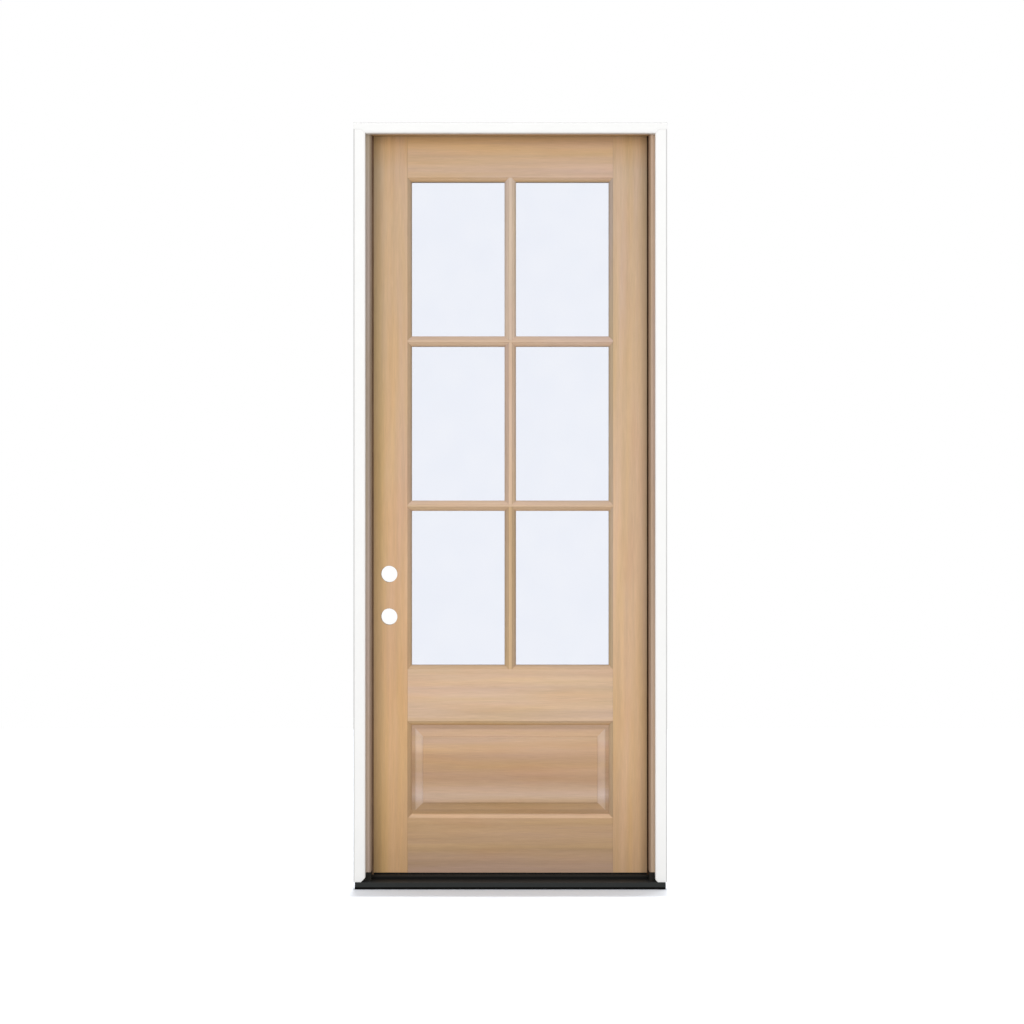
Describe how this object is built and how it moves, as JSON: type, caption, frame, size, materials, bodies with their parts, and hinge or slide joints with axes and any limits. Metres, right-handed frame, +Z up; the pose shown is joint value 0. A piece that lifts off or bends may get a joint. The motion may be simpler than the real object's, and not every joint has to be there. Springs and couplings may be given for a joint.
{
  "type": "half glazed entrance door unit",
  "caption": "Hung timber entrance door with divided glass above a raised panel, in a rebated frame with white casing and a dark sill; it swings inward on hidden hinges.",
  "frame": {"origin": "underside of the sill at mid width, in the plane of the frame's outer edge", "axes": "+X to the right seen from outside, +Y towards the room, +Z up"},
  "size_m": [1.0164, 0.1687, 2.4841],
  "materials": {
    "door_wood": "unfinished, straight grain",
    "jamb_wood": "unfinished, straight grain",
    "white_casing": "factory primed white",
    "sill_core": "dark stained",
    "sill_metal": "dark anodised",
    "threshold_plastic": "matt black",
    "seal_foam": "brown foam seal",
    "sweep_rubber": "black flexible",
    "hinge_metal": "satin",
    "clear_glass": "clear",
    "spacer_metal": "mill"
  },
  "bodies": {
    "frame": {"strike_jamb": "jamb_wood", "hinge_jamb": "jamb_wood", "head_jamb": "jamb_wood", "strike_casing": "white_casing", "hinge_casing": "white_casing", "head_casing": "white_casing", "sill_base": "sill_core", "sill_deck": "sill_metal", "sill_end_blocks": "threshold_plastic", "threshold_cap": "threshold_plastic", "strike_weatherstrip": "seal_foam", "hinge_weatherstrip": "seal_foam", "head_weatherstrip": "seal_foam", "jamb_hinge_leaf_1": "hinge_metal", "jamb_hinge_leaf_2": "hinge_metal", "jamb_hinge_leaf_3": "hinge_metal", "jamb_hinge_leaf_4": "hinge_metal", "hinge_pin_1": "hinge_metal", "hinge_pin_2": "hinge_metal", "hinge_pin_3": "hinge_metal", "hinge_pin_4": "hinge_metal"},
    "door": {"lock_stile": "door_wood", "hinge_stile": "door_wood", "top_rail": "door_wood", "middle_rail": "door_wood", "bottom_rail": "door_wood", "raised_panel": "door_wood", "horizontal_bar_1": "door_wood", "horizontal_bar_2": "door_wood", "vertical_bar_1": "door_wood", "vertical_bar_2": "door_wood", "vertical_bar_3": "door_wood", "glass_lite_1": "clear_glass", "glass_lite_2": "clear_glass", "glass_lite_3": "clear_glass", "glass_lite_4": "clear_glass", "glass_lite_5": "clear_glass", "glass_lite_6": "clear_glass", "glass_spacers": "spacer_metal", "upright_beads": "door_wood", "level_beads": "door_wood", "door_sweep": "sweep_rubber", "door_hinge_leaf_1": "hinge_metal", "door_hinge_leaf_2": "hinge_metal", "door_hinge_leaf_3": "hinge_metal", "door_hinge_leaf_4": "hinge_metal"}
  },
  "joints": [
    {"name": "door_swing", "type": "hinge", "parent": "frame", "child": "door", "pos_m": [0.4597, 0.1224, 1.25], "axis": [0, 0, -1], "range_deg": [0, 170]}
  ]
}
